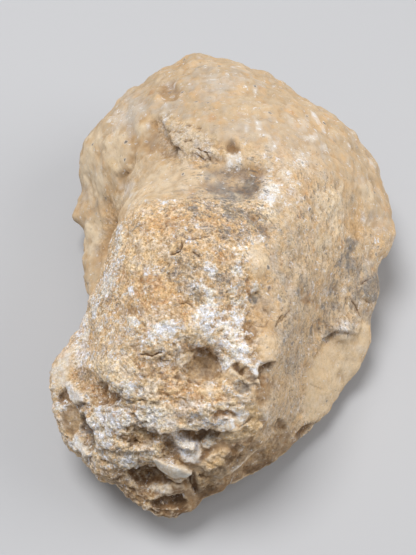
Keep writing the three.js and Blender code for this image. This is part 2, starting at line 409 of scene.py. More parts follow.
FLANK = """
flank, pale: 0 10 CREAM*1.06 0.8: 318,196 338,188 348,204 343,228 331,246 320,236 317,214
rim, cream: 0 5 CREAM 0.7: 358,184 370,184 374,198 364,202
rim, ash: 0 6 ASH 0.5: 370,214 386,216 388,232 374,236
flank, dark grains: 0 12 SLATE 0.35: 282,236 300,230 312,270 318,306 300,330 284,330 276,290
flank, rim grains: 0 12 SLATE 0.35: 318,290 350,262 378,272 378,300 362,312 340,340 318,344
rust by the rim: -0.3 6 OCHRE 0.6: 345,222 350,213 362,214 366,228 358,238 348,236
flank grey, upper: -0.3 4 SLATE*0.9 1: 346,240 352,235 357,243 353,256 346,256
flank grey, middle: -0.4 5 SLATE 1.2: 336,266 342,256 352,257 364,260 363,270 358,282 350,272 342,270
pale of the rim: 0.3 4 ASH 0.6: 361,264 368,259 374,264 370,274 362,272
rim chunk: 0.7 4 SLATE 1.3: 359,285 367,278 378,275 380,284 379,298 372,303 362,298
rim chunk, core: 0.2 3 DUST 0.6: 365,285 374,281 376,292 368,296
flank grey, left: -0.3 4 SLATE 0.7: 326,288 333,282 338,286 337,296 329,298
flank grey, low: -0.3 4 SLATE 0.9: 320,306 328,300 336,304 332,312 322,314
flank hollow: -0.9 4 SLATE 0.95: 312,326 318,318 326,320 332,330 334,340 326,344 322,334 314,332
flank specks: -0.3 3 SLATE 0.8: 296,288 300,284 306,292 300,300 295,296
flank specks: -0.2 3 SLATE 0.6: 298,276 304,274 307,288 301,286
flank specks: -0.4 3 BROWN 0.8: 300,301 309,297 316,302 308,308
flank shade: -0.3 9 SLATE 0.55: 276,326 292,322 312,330 318,350 306,370 292,376 282,366 280,346
flank grey, beside the rim: -0.2 4 SLATE 0.9: 348,286 360,284 362,298 352,302
flank crease, grey: -0.5 4 SLATE 0.7: 352,304 360,308 362,322 356,332 350,330 354,318
flank, ochre: 0 5 CREAM 0.7: 314,240 322,236 328,250 324,258 315,254
warm of the flank: 0 5 OCHRE 0.6: 317,220 328,219 330,233 320,235
flank bump: 1.3 6 ASH 0.6: 333,330 338,321 347,318 354,326 353,337 346,342 338,339
flank bump, white: 0.2 3 CHALK 0.7: 334,330 340,322 346,322 344,329 337,333
flank bump, foot: 0.1 3 CHALK 0.5: 338,334 346,334 352,336 346,342 339,340
grey by the flange: -0.2 4 GREY*0.9 0.8: 363,310 372,307 377,320 371,327 364,322
flange: 0.3 6 SAND 0.95 calm=0.75: 308,366 330,340 346,337 360,326 365,318 372,328 374,338 364,352 362,366
  350,382 340,398 330,410 318,420 306,420 303,400 306,380
flange, pale: 0 4 CHALK 0.5: 351,348 360,345 366,350 358,356
flange, pale: 0 6 CREAM 0.5: 336,366 346,362 350,372 342,380
lower flank: 0 8 SLATE 0.38: 298,352 308,358 304,384 300,410 286,424 268,440 258,438 270,402 280,378 288,360
lower flank, pale: 0.3 6 BUFF 0.6: 284,392 292,378 300,384 294,402 286,410
flank hole: -2 4 UMBER 0.8 lean=0,-0.3: 273,428 278,421 285,423 286,430 278,432
rim hole: -2 4 UMBER*0.7 1: 298,437 303,427 313,425 314,433 305,438
underside rim: 0 8 UMBER 0.5: 214,496 232,478 250,464 270,453 286,442 300,432 314,428 304,452 270,470 240,490
lower right skin: 0 6 DUST*1.05 0.7 crumble=0.8: 226,470 240,456 254,440 262,438 262,456 246,470 228,484
  222,480
"""

RIDGE = """
dusting, lower left: 0 16 CHALK 0.25: 96,308 118,286 150,300 190,318 196,344 160,348 120,350 84,372 78,346
dusting, middle: 0 16 CHALK 0.2: 186,262 230,262 250,300 226,318 196,306 180,284
dusting, crown: 0 14 CREAM 0.6: 128,240 150,236 176,240 172,262 140,268 122,262
grey flecks, middle: 0 14 SLATE 0.35: 166,256 200,252 240,262 252,300 236,300 206,292 176,290
grey flecks, crown: 0 12 SLATE 0.9: 186,200 215,190 244,198 268,214 276,236 244,240 212,236 190,220
rusty flecks, crown: 0 12 RUST 0.35: 140,226 166,206 200,200 230,216 240,240 200,238 160,240
rusty flecks, left: 0 14 RUST 0.25: 112,262 140,268 170,284 180,312 150,330 116,322 104,296
ridge, ochre: 0 14 OCHRE 0.25: 126,226 160,212 200,200 250,216 240,262 238,290 180,320 110,330 112,280 124,252
crown rust: 0 6 RUST 0.4: 140,226 150,214 172,212 190,216 182,226 162,224 146,234
shoulder crust: 0.2 4 CHALK 0.55: 117,226 124,221 125,236 120,252 124,262 114,276 108,290 105,304 98,308
  90,326 82,348 74,356 70,344 82,318 92,298 100,280 110,262 114,242
ridge white: 0.2 3 CHALK 0.7: 158,200 168,197 174,201 164,204
ridge white: 0.2 3 CHALK 0.45: 147,268 155,265 161,272 154,277 148,274
ridge white: 0.2 2 CHALK 0.8: 128,288 134,287 135,294 130,296
ridge white: 0.2 3 CHALK 0.9: 128,318 136,317 140,322 133,327 128,324
ridge white: 0.2 4 CHALK 0.85: 157,323 166,320 173,322 177,332 171,340 162,338 156,334 151,343 145,341 154,330
ridge white: 0.25 6 CHALK 0.95: 196,308 206,301 217,299 220,310 214,324 206,332 196,326 190,316
ridge white, band: 0.15 8 CHALK 0.6: 214,328 224,312 238,302 247,300 246,314 242,326 246,340 232,342 218,338
ridge pit: -0.4 2 BROWN 0.9: 219,315 227,318 230,324 222,322
ridge pit: -0.3 2 SLATE 0.8: 211,331 218,329 223,331 217,334
ridge knot: -0.3 3 SLATE 0.9: 249,296 255,294 260,298 257,305 251,304
ridge white: 0.3 4 CHALK 0.7: 190,281 200,277 206,284 214,290 212,298 200,292 190,290
ridge white: 0.1 4 CHALK 0.5: 234,246 246,243 251,249 247,257 241,263 239,270 248,278 249,286 240,284 233,274
  231,260
ridge white: 0.2 3 CHALK 0.95: 246,237 258,233 266,236 262,242 252,244
ridge white: 0.2 3 CHALK 0.8: 249,286 256,283 260,290 255,295 250,294
ridge white: 0.2 3 CHALK 0.9: 204,262 214,262 218,270 212,276 204,270
ridge white: 0.3 3 CHALK 0.6: 228,284 236,286 238,296 230,298
ridge grey: -0.2 4 SLATE 0.65: 162,222 172,218 182,226 184,236 174,234 166,230
ridge grey: -0.1 4 SLATE 0.45: 129,222 136,219 142,228 134,233
ridge grey: -0.2 6 SLATE 0.5: 160,272 168,260 180,259 198,266 196,276 184,278 184,288 174,286 168,278
ridge grey: -0.2 4 SLATE 0.85: 188,288 198,288 204,302 198,305 190,298
ridge grey: -0.3 3 SLATE 0.5: 221,224 232,223 237,230 228,234 222,231
ridge grey: -0.2 3 SLATE 1: 219,235 230,234 230,243 222,241
ridge grey: -0.4 3 SLATE 0.95: 249,293 258,292 262,299 256,306 251,303
ridge grey: -0.2 4 SLATE 1.3: 190,208 206,204 216,208 208,214 194,216
ridge grey: -0.2 4 SLATE 1.3: 222,210 240,206 246,212 236,217 224,216
cream of the ridge's left: 0.2 4 CREAM 0.85: 128,262 138,260 142,270 134,275 126,271
grey of the crown: -0.2 4 SLATE 0.9: 190,216 200,213 205,221 197,225 189,223
pale right of the crown: 0 5 CREAM 0.8: 262,208 272,206 276,220 268,224
ridge grey: -0.3 4 SLATE 0.6: 97,302 104,292 114,290 118,296 108,306 102,314
ridge grey: -0.3 4 BROWN 0.7: 117,305 126,304 140,308 142,316 132,314 120,312
ridge grey: -0.2 3 BROWN 0.6: 213,257 222,254 230,258 224,264 214,264
ridge grey: -0.1 3 SLATE 0.5: 212,276 222,274 226,280 218,284
ridge white: 0.1 4 CHALK 0.6: 104,280 116,275 122,287 113,298 104,294
ridge white: 0.1 4 CHALK 0.7: 226,321 240,321 244,334 232,338
ridge rust: -0.3 2 RUST 0.95: 134,288 142,287 144,295 137,297
ridge rust: -0.2 3 RUST 0.8: 150,279 158,276 163,284 154,288
ridge rust: -0.2 3 RUST 0.5: 136,298 146,297 146,306 139,308
ridge rust: -0.3 5 RUST 0.3: 114,268 126,265 132,274 122,282 114,280
ridge rust: 0 4 RUST 0.4: 136,272 148,270 158,278 150,286 138,280
ridge rust: -0.2 5 RUST 0.35: 148,292 168,288 172,300 158,310 146,304
ridge rust: -0.3 5 RUST 0.4: 176,294 192,302 198,312 188,322 176,312
ridge rust: -0.2 3 RUST 0.6: 214,252 228,250 240,256 232,260 218,260
ridge rust: -0.5 3 RUST 0.9: 244,279 250,277 252,290 254,300 248,294
ridge rust: -0.2 3 RUST 0.7: 220,306 232,304 240,308 230,312
brown arc of the crown: -0.4 4 BROWN 0.7: 246,214 254,215 262,221 268,230 272,240 264,236 256,226
crown knot: -0.3 3 SLATE 0.6: 249,224 258,224 262,232 254,237 248,233
smooth shoulder: 0.2 6 CREAM 0.6 calm=0.6: 250,246 262,242 268,252 270,268 262,276 252,278 246,264
shoulder brown: -0.3 6 TAN 0.5: 256,276 268,272 278,278 276,292 262,290
brown zone: -0.2 6 TAN 0.65 crumble=0.55: 243,316 254,304 270,300 274,314 266,328 258,346 248,346 243,330
brown beside the crust: -0.6 3 BROWN*0.85 0.95: 242,326 250,322 258,332 254,343 244,342
ash of the shoulder: 0 5 GREY 0.4: 264,302 274,300 280,310 272,318 264,312
shade of the zone: -0.4 4 TAN*0.85 0.8: 266,322 274,324 276,338 268,340 262,332
foot of the shoulder: -0.4 4 TAN*0.8 0.85: 256,420 264,418 268,430 260,437 254,432
smooth zone: 0.3 6 BUFF 0.8 calm=0.6: 258,338 268,330 276,336 276,348 274,362 264,363 257,352
grey streak of the shoulder: -0.2 3 ASH 0.6: 271,248 276,246 278,260 280,270 288,280 292,292 288,296 280,282
  273,266
"""

# Painted shade in these rows: the brown of the tip and the darker rim of the tip, the terrace hollow, the end
# of the slit, the roof of the hollow and the band along its top, the pocket in the crust, the band under the
# crust, the brown of the step, the notch and the small hollows. The rows named shade are painted shade too.
UPPER_END = """
dusting, left end: 0 12 CHALK 0.22: 84,404 110,372 136,366 150,392 178,416 150,424 120,436 92,450
dusting, lower end: 0 12 CHALK 0.18: 88,452 120,448 168,450 200,440 210,460 180,466 130,470 100,474
rusty flecks, end: 0 12 RUST 0.5: 136,350 170,372 206,388 236,398 240,412 190,416 150,404 128,384
tip, brown: 0 10 BROWN 0.75 crumble=0.5: 120,480 150,478 190,480 226,478 230,500 190,530 140,524
rim of the tip: 0 6 UMBER 0.6: 122,492 142,512 160,510 182,512 206,492 226,482 222,500 180,530 140,524
end ochre: 0 9 OCHRE 0.3: 150,380 200,384 250,392 240,412 204,420 170,414 140,404
brown beside the slit: -0.6 6 BROWN 0.5: 140,358 150,360 168,354 174,362 164,374 148,378 142,370
left smooth corner: 0.2 6 PALE 0.95 calm=0.6: 54,388 52,368 60,351 72,346 75,358 70,374 66,386
left corner streak: 0 4 PEARL*1.1 0.8: 73,346 84,340 88,352 84,364 79,372 74,362
left pale: 0.8 5 CREAM*1.08 1 lean=0,0.8: 92,362 102,354 114,357 124,368 125,384 115,393 102,388 95,374
cream of the upper end: 0.3 6 CREAM*1.05 0.85: 110,366 120,358 134,362 141,372 138,386 122,381 110,376
left rusty band: -0.9 6 BROWN 0.55: 72,374 84,366 98,374 112,382 124,394 116,402 104,404 92,394 80,390
left rusty knots: 0.3 4 RUST 0.55: 80,382 92,380 98,388 90,396 82,392
left dark specks: -0.3 3 SLATE 0.7: 76,374 88,370 94,376 84,381 77,380
terrace hollow: -1.4 4 BROWN 0.95 lean=0,-0.4: 97,392 104,384 109,389 115,399 109,406 101,404
upper white block: 0.3 4 CHALK 0.5: 116,384 124,380 134,381 135,390 127,395 118,391
upper white spot: 0.1 2 CHALK 1: 123,387 131,385 132,392 125,393
end of the slit: -0.5 3 UMBER 0.75: 146,353 156,350 164,351 160,356 149,357
ochre of the end: 0 6 OCHRE 0.5: 134,378 150,376 160,386 150,394 138,392
ochre of the corner: 0 5 APRICOT 0.5: 55,354 63,344 70,346 64,357 56,363
brown over the slit: -0.3 3 BROWN 0.6: 130,346 142,343 152,347 146,351 134,352
main hollow: -2 14 TAN 0.4 lean=0.4,-0.5: 170,368 180,357 192,350 206,351 214,357 219,365 219,376 212,381
  200,382 186,380 174,378
roof of the hollow: -0.3 3 BROWN*0.8 0.6: 196,348 204,348 212,354 218,364 212,363 206,358 197,354
rusty roof: -0.4 2.5 BROWN 0.95: 178,343 186,341 193,345 191,350 183,349
shade of the hollow: -0.3 6 DUST*0.95 0.85 calm=0.45: 190,373 198,364 204,358 210,358 218,366 219,377 208,381
  195,380
wedge in the hollow: 1.5 4 CREAM*1.12 0.95 calm=0.4: 176,366 180,356 188,353 197,355 191,362 183,369
floor line: -0.7 2.5 UMBER 0.9: 168,378 180,375 192,377 204,381 198,383 184,381
lip of the hollow: 0.5 5 CREAM 0.7 calm=0.4: 199,385 206,382 214,384 221,390 216,396 204,396 198,391
knob of the floor: 0.6 2 CREAM 0.7: 182,377 187,374 190,378 187,382 183,381
crust, upper: 0.1 6 CHALK 0.5: 206,328 220,322 236,330 244,338 250,350 238,354 226,352 214,346 206,340
crust, tip: 0.4 5 CHALK 0.7: 226,350 240,346 252,353 262,361 262,369 257,377 250,376 245,366 236,359
crust, wall: 0.2 3 CHALK 0.7: 216,358 224,356 233,364 230,371 220,370
grey of the crust: -0.3 3 BROWN 0.5: 243,352 252,356 258,362 252,366 245,361
pit of the crust: -0.6 2 BROWN 0.9: 223,335 229,334 229,341 223,342
wall right of the hollow: -0.2 3 BUFF 0.7 calm=0.6: 219,379 224,372 234,371 239,376 234,381
pocket in the crust: -1.6 3 UMBER 1: 231,366 237,362 243,369 243,376 236,375
band under the crust: -0.9 3 UMBER 0.75: 238,370 247,376 258,378 255,384 244,382 236,377
grey under the crust: -0.8 3 SLATE*0.9 0.8: 229,385 238,380 247,383 250,391 244,395 234,392
white under the grey: 0.3 3 CHALK 0.7: 236,396 248,394 252,402 242,404
right pale block: 0.3 5 GOLD 0.8 crumble=0.9: 246,398 256,404 262,412 258,424 250,414 244,406
brown of the step: -0.6 3 BROWN*0.8 0.9: 240,366 249,367 252,375 244,376
pale of the upper end: 0.7 5 CREAM*1.06 1 lean=0,0.8: 139,382 150,378 159,384 159,400 145,402
brown of the floor: -0.5 4 BROWN 0.7: 178,382 190,382 196,386 188,391 178,389
pale over the hollow: 0.3 4 CREAM*1.05 0.8: 188,328 200,326 206,336 200,342 188,338
brown of the corner: -0.6 3 BROWN 0.8: 92,396 100,394 104,402 98,408 90,404
pale in the end: 0.3 2.5 PALE 0.9: 169,439 176,435 186,433 193,438 187,446 176,447 170,446
shade right of the crust: -0.5 3 BROWN 0.8: 250,354 256,353 260,360 254,364
shade beside the crust: -0.3 3 BROWN 0.6: 234,330 241,329 243,338 236,340
shade of the step: -0.5 3 BROWN 0.7: 224,378 236,377 236,385 226,386
notch: -2.2 3 UMBER 1 lean=0,-0.3: 260,366 268,362 276,363 272,369 268,376 265,388 260,384 258,377
rusty strip: -0.7 4 BROWN 0.8: 262,384 268,374 274,376 272,390 268,402 262,408 256,402 255,390
pale by the lip: 0 5 CHALK 0.4: 200,396 214,394 222,402 212,408 200,404
left edge of the end: 0 5 ASH 0.6: 50,404 60,408 66,436 84,452 104,466 92,472 68,452 54,430
small hollow: -0.5 3 BROWN 0.7: 186,388 190,386 193,393 192,400 187,397
small hollow: -0.5 4 BROWN 0.5: 172,400 182,396 190,400 188,407 176,408
white crystals, left: 0.5 3 BROWN 0.4: 141,367 148,366 155,374 150,379 143,374
"""

# Painted shade in these rows: the dark of the crevices, the pocket and its dark core, the inside of the shell
# ring, the caves, the rim hollow, the gap by the second chunk and the dark under it, the crack and the cave
# of the tip, the dark at the tip's sides and bottom, the dark rim, and the brown foot, which darkens the
# whole lower front. Shade under the shelf is painted shade too.
LOWER_END = """
cream over the shelf: 0.3 3 CREAM*1.05 0.9: 146,400 156,399 161,404 154,408 147,406
shelf, white: 1.8 8 PALE 0.8 lean=0,1: 130,410 146,404 164,403 184,402 204,402 216,408 215,420 196,423 180,424
  164,427 150,423 136,417
shelf, left white: 0.1 5 CHALK 0.6: 132,410 146,405 160,407 168,414 158,424 146,422 136,417
shelf, right white: 0.1 5 CHALK 0.6: 188,410 210,407 216,414 214,421 200,423 188,419
cream by the slot: 0.4 3 CREAM 0.9: 214,402 234,400 238,407 224,410 214,409
warm of the shelf: 0 5 OCHRE 0.6: 172,406 198,406 200,416 176,416
slot: -1.2 2.5 RUST 0.9: 212,416 218,412 226,411 235,414 236,418 226,416 216,418
teeth: 0.5 3 CHALK 0.8: 215,420 224,416 234,417 234,425 224,428 216,424
white right of the slot: 0.5 3 CHALK 0.9: 233,408 242,405 248,415 244,422 236,419
terrace streak: -0.3 4 CREAM 0.5: 120,396 136,394 150,398 148,404 132,405 120,402
terrace white: 0.3 4 CHALK 0.5: 100,404 112,406 112,414 102,416 92,410
plate: 0.5 4 CHALK 0.7: 86,421 91,413 101,413 104,419 103,427 96,429 90,428
plate: 0.6 4 CHALK 0.65: 104,419 111,413 124,412 131,417 128,427 120,430 111,434 104,429
plate: 0.5 4 CHALK 0.8: 93,433 103,431 113,434 115,441 106,446 97,443
shell ring: 0.6 2 CREAM 0.6: 116,436 120,430 126,429 131,434 131,442 125,447 118,444
inside the shell ring: -1 2 BROWN 0.7: 119,436 123,433 128,436 127,442 122,443
crevices: -0.9 2.5 BROWN 0.7: 118,429 126,425 135,426 136,431 127,430
pocket: -1.7 4 BROWN*0.85 0.85: 129,436 136,430 146,431 154,437 152,446 141,448 131,446
pocket, dark: -1.2 2 UMBER 1: 127,441 135,440 141,446 135,450 128,449
shade under the shelf: -0.7 4 DUST*0.7 0.5: 134,424 146,427 157,432 158,440 148,440 140,434
pale under the shelf: 0.7 4 CREAM 0.85 lean=0,0.8: 130,428 140,426 147,431 146,438 133,438
left cave: -1.4 3 UMBER 0.35: 156,437 160,432 167,432 170,440 173,447 164,444 157,441
lower cream: 0.4 4 CREAM 0.5: 140,448 152,443 166,448 172,456 158,458 142,458
middle cave: -1.2 3 BROWN*0.8 0.85: 177,431 190,427 199,428 196,437 184,435
right cave: -1.8 3.5 UMBER 0.9 lean=0,-0.4: 193,438 199,430 203,423 212,427 218,430 216,436 212,440 206,436
  199,441
crystals: 1 2.5 CHALK 0.75: 201,438 209,434 216,438 214,446 209,451 203,448
brown by the crystals: -0.4 3 BROWN 0.7: 215,441 222,438 224,446 216,451 212,449
facet, upper: 2.2 3 PEARL*1.18 1 lean=0,0.6 calm=0.3: 168,430 176,429 186,433 196,440 193,450 180,450 173,444
white facet: 1.8 2.5 PEARL*1.1 1 crumble=0.35: 174,438 186,436 198,441 203,452 201,462 193,466 184,464 178,454
facet, flecks: 0 3 CHALK 0.6: 178,446 190,442 198,452 197,461 186,461
brown strip: -1 3 BROWN 0.9: 160,445 168,444 176,451 183,460 192,466 186,466 172,459 162,453
right chunk: 0.9 5 GOLD*1.04 0.9 crumble=1: 217,443 226,432 240,425 251,419 259,424 255,433 246,438 234,442
striated flank: 0 9 DUST 0.3 crumble=0.8: 196,484 212,472 232,458 256,436 268,424 284,424 290,440 262,462
  236,482 206,498
dark wedge: -0.6 4 BROWN 0.7 crumble=0.8: 221,446 236,443 252,437 248,448 236,455 227,450
second chunk: 0.9 4 GOLD 0.85 crumble=1: 201,462 210,453 222,449 233,453 229,461 218,468 207,470 200,468
lower chunk: 0.5 4 SAND*0.9 0.7 crumble=1: 195,474 206,468 217,470 225,475 225,484 214,489 202,490 197,483
shard: 1.6 1.6 FROST 1 lean=0,0.3 calm=0.9: 152,455 161,459 172,463 184,466 193,471 186,475 177,475 167,470
  158,464
above the shard: -0.7 2.5 DUST 0.75 crumble=0.3: 158,452 168,450 178,456 190,463 198,468 194,471 182,467
  170,462 160,458
cave under the shard: -2.6 4 UMBER 0.95 lean=0,-0.3: 129,475 134,468 146,466 156,467 161,474 168,480 178,482
  191,479 190,485 176,485 160,484 146,485 134,483
crack of the tip: -1.8 2 UMBER 0.95: 189,477 195,474 199,488 196,494 191,488
lower plate: 0.8 3 CHALK 0.65: 120,459 127,454 137,456 138,464 130,466 121,466
rim hollow: -0.6 3 BROWN 0.4: 112,474 117,468 124,471 125,478 118,480
brown foot: 0 12 UMBER 0.5: 96,470 130,466 160,482 200,470 226,452 250,440 262,442 300,424 316,428 300,458
  250,492 190,534 140,528 106,500
dark right of the tip: -0.3 4 UMBER*0.6 0.9: 196,494 205,488 215,483 217,490 205,500 198,505
dark left of the tip: -0.6 4 UMBER 0.4: 116,479 128,482 137,490 130,496 118,489
dark rim: -0.2 4 UMBER 0.8: 244,472 258,463 270,457 272,464 258,474 246,480
under the second chunk: -1 4 UMBER 0.8 crumble=0.8: 224,458 232,451 242,445 246,451 237,461 227,466
gap by the second chunk: -0.8 2 BROWN*0.8 0.9: 199,459 204,451 212,448 210,454 203,461
bottom of the tip: -0.3 4 UMBER*0.8 0.8: 148,512 160,510 178,509 190,506 184,520 168,526 152,520
crest of the tip: 0.9 3 PALE 0.9: 147,487 152,483 160,483 171,485 172,490 160,492 151,491
cave of the tip: -2 3.5 UMBER*0.7 0.95 lean=0,-0.4: 150,503 158,498 166,496 174,495 182,497 187,503 183,508
  172,508 162,509 154,508
right rim of the tip: 0 2 TAN*0.9 0.7: 184,484 190,488 191,498 188,507 185,498
right lobe of the tip: 0 3 TAN*0.9 0.7: 188,498 196,494 200,499 194,508 187,511
white of the tip: 0.1 2 CREAM 0.5: 142,507 147,499 151,503 149,510
"""

# Painted shade in these rows: the dark of the cavity beside the rib, the hole under the rib, and the dark
# cavity and its core.
CORNER = """
upper rib: 1.6 2 CHALK*0.97 1 calm=0.6: 67,383 72,381 79,389 84,396 84,402 78,405 72,400 69,391
cavity beside the rib: -1.6 3 UMBER 0.75: 58,398 62,392 66,389 69,394 71,402 65,404 60,402
left facet: 0.7 2 CHALK 0.7: 55,402 61,401 69,402 66,409 60,412 55,408
shell cavity: -1.4 4 DUST*0.9 0.95 calm=0.6: 62,413 69,407 76,409 79,420 78,431 72,437 66,433 61,423
hole under the rib: -0.8 2.5 UMBER 0.5: 75,405 83,402 90,406 85,411 77,411
dark cavity: -2 3 SLATE*0.65 1: 79,416 84,413 87,424 93,435 96,446 90,451 85,442 82,434 78,429
dark cavity, core: -0.5 2 IRON 0.9: 81,418 86,418 89,432 92,444 88,444 84,434
lower rib: 1.6 2 CHALK*0.97 1 calm=0.6: 74,434 79,432 83,438 86,446 91,455 86,457 81,451 76,444
lower left facet: 0.5 2 CHALK 0.8: 67,445 73,440 79,443 77,450 69,451
"""

# Ledges: how far the lip stands out and how deep it is cut in below, in mm. Below is on the right hand of one
# who walks along the pixels.
LEDGES = """
shelf: 0.7 0.9: 128,421 142,426 157,431 168,427 182,424 196,422 204,421 212,426 222,429 234,428 248,421
crest of the terrace: 0.3 0.6: 92,384 104,380 112,386 124,398 140,404
left terrace: 0.4 0.45: 88,450 104,447 118,449 134,449 150,447
lower left terrace: 0.35 0.55: 98,458 112,462 124,468 140,467
right terrace: 0.15 0.4: 203,470 216,468 230,461 240,453 254,438
step of the crust: 0.3 0.5: 228,374 236,375 248,383 262,383
crust edge: 0.1 0.4: 242,330 243,318 250,308 260,301
scarp: 0.35 0.7: 152,120 162,128 170,142 184,150 196,152 206,154 218,156 230,158
left bump: 0.4 0.7: 114,176 121,173 127,166 130,158
flank over the flange: 0.6 0.5: 306,372 312,358 322,338 334,331 346,331 356,334 361,322 356,306
near tip: 0.4 0.4: 142,498 156,499 170,494 182,493 189,500
shoulder: 0 0.3: 268,398 264,410 260,424 254,438
upper crown: 0.25 0.3: 138,206 158,197 180,190 204,186
lower crown: 0.2 0.3: 146,216 164,208 190,204 216,204 240,210 262,222
"""

# Creases: half their width in pixels and their depth in mm. They are also painted darker, which is painted
# shade.
CREASES = """
bent crack: 1.1 0.7: 168,254 174,253 180,250 182,246 181,240
crack beside it: 1.2 0.35: 181,234 186,239 198,238 212,235
slit: 0.9 0.55: 138,355 146,354 152,356 158,353 163,352
below the slit: 0.9 0.2: 158,358 163,361 170,361
end face crack: 1.3 0.25: 123,352 134,362 142,372
chunk crease: 1.5 0.15: 218,444 230,442 242,440 252,435
chunk crease: 1.3 0.35: 236,426 246,422 254,417
lower chunk crease: 1.3 0.6: 197,475 206,478 216,475
terrace crease: 1.2 0.2: 88,411 100,411 112,412 126,413
terrace crease: 1.2 0.2: 104,404 120,408 136,409 146,408
terrace crease: 1.2 0.2: 112,397 120,401 130,402
terrace crease: 1.2 0.25: 128,398 140,401 152,400
plate gap: 1.1 0.3: 103,413 104,420 104,430
plate gap: 1.1 0.15: 94,430 104,431 112,434
plate foot: 1.3 0.35: 106,448 116,449 124,446
ridge crease: 1 0.2: 131,335 137,333 142,334
ridge crease: 1 0.2: 137,324 142,323 146,327
ridge crease: 1.1 0.4: 178,304 186,302 194,306
crown crease: 1 0.4: 192,250 197,254 200,257
flank crease: 2.5 0.4: 312,352 304,372 295,392 287,412
flank crease: 1.5 0.3: 282,322 287,314 292,308
wrinkle: 1 0.2: 250,322 258,326 266,326 270,318
wrinkle: 0.9 0.15: 256,314 262,318 264,324
wrinkle: 0.9 0.15: 262,306 268,312 272,320
flank crack: 1 0.3: 276,328 280,320 284,314
flank crease: 1.8 0.4: 350,298 357,306 360,318
rim crease: 1.6 0.5: 360,285 368,279 379,276
rim crease: 1.6 0.3: 362,298 370,303 377,301
flange line: 1 0.12: 307,383 316,387 324,389
dash by the block: 1.2 0.4: 170,134 171,142 175,149 184,151
foot of the white steps: 1.3 0.4: 188,152 196,154 205,158 214,158
top edge of the scarp: 1.2 0.35: 158,118 163,126 169,131 180,131 186,137
scarp dash: 1.3 0.5: 184,126 191,124
scarp dash: 1.2 0.5: 184,142 193,139
scarp dash: 1.3 0.4: 196,128 202,127
scarp dash: 1.2 0.4: 172,133 180,132
scarp dash: 1.2 0.6: 196,146 206,152 214,155
ledge crease: 1.6 0.12: 90,184 95,200 100,216 103,230
ledge streak: 1.3 0.2: 86,188 90,184 95,192
valley foot: 2.5 0.5: 120,214 115,228 110,244 104,258
"""

# Small moves of the outline: u and v of the middle, pixels outwards, and the reach in pixels. Most places
# and distances are copied from a program's measure of the photo's outline against a render's, and weren't
# set by eye.
OUTLINE_MOVES = """
84,278,-5,9 74,215,6,4 83,232,-3.4,6 79,166,3,9 90,132,-2,8 102,116,1.5,7 116,101,2.2,7 128,88,3,6
159,68,3.8,9 190,54,3.2,8 254,67,-2.4,9 302,95,-2.5,8 316,106,-2.2,6 334,114,2,8 365,146,-1.7,9
385,190,-3.6,9 391,207,-1.5,7 394,238,4.4,8 386,254,2.4,6 379,287,1.5,6 377,302,4.5,7 366,351,-2.4,7
358,367,-2.1,7 312,427,-2.8,6 297,440,-2.5,6 284,451,-3.6,7 252,473,3.2,7 236,481,2.4,7 189,510,2.4,6
203,498,-2.6,5 174,517,4.8,7 157,515,3.9,7 141,508,3.6,7 114,484,-4.8,7 98,478,0.8,6 127,496,2.6,6
220,490,3,7 393,222,-1.8,7 381,176,-1.4,8 349,127,1.4,7 214,55,-1.5,9 49,380,-1.4,9 60,437,-1.6,5
55,421,-4.2,6 51,405,-2.4,6 64,344,-3.8,7 76,328,-4.1,8 83,312,-2.1,6 85,296,1.5,5
"""


def rows(table):
    """The rows of a table as (the words that say how it looks, the pixels)."""
    for row in table.replace("\n  ", " ").strip().splitlines():
        _, look, pixels = row.split(":")
        yield look.split(), np.array([pixel.split(",") for pixel in pixels.split()], float)


def area(look, outline):
    """An area by name: what its row says, and what a row may leave out."""
    relief, rim, colour, share, *more = look
    more = dict(word.split("=") for word in more)
    lean = np.array(more.get("lean", "0,0").split(","), float)
    return {"outline": outline, "relief": float(relief), "rim": float(rim), "colour": colour,
            "share": float(share), "lean": lean, "calm": float(more.get("calm", 0)),
            "crumble": float(more.get("crumble", 0))}


AREA_TABLES = (BACK, FLANK, RIDGE, UPPER_END, LOWER_END, CORNER)
AREA_LIST = [area(*row) for table in AREA_TABLES for row in rows(table)]
LEDGE_LIST = [(pixels, float(look[0]), float(look[1])) for look, pixels in rows(LEDGES)]
CREASE_LIST = [(pixels, float(look[0]), float(look[1])) for look, pixels in rows(CREASES)]
MOVE_LIST = [[float(number) for number in move.split(",")] for move in OUTLINE_MOVES.split()]


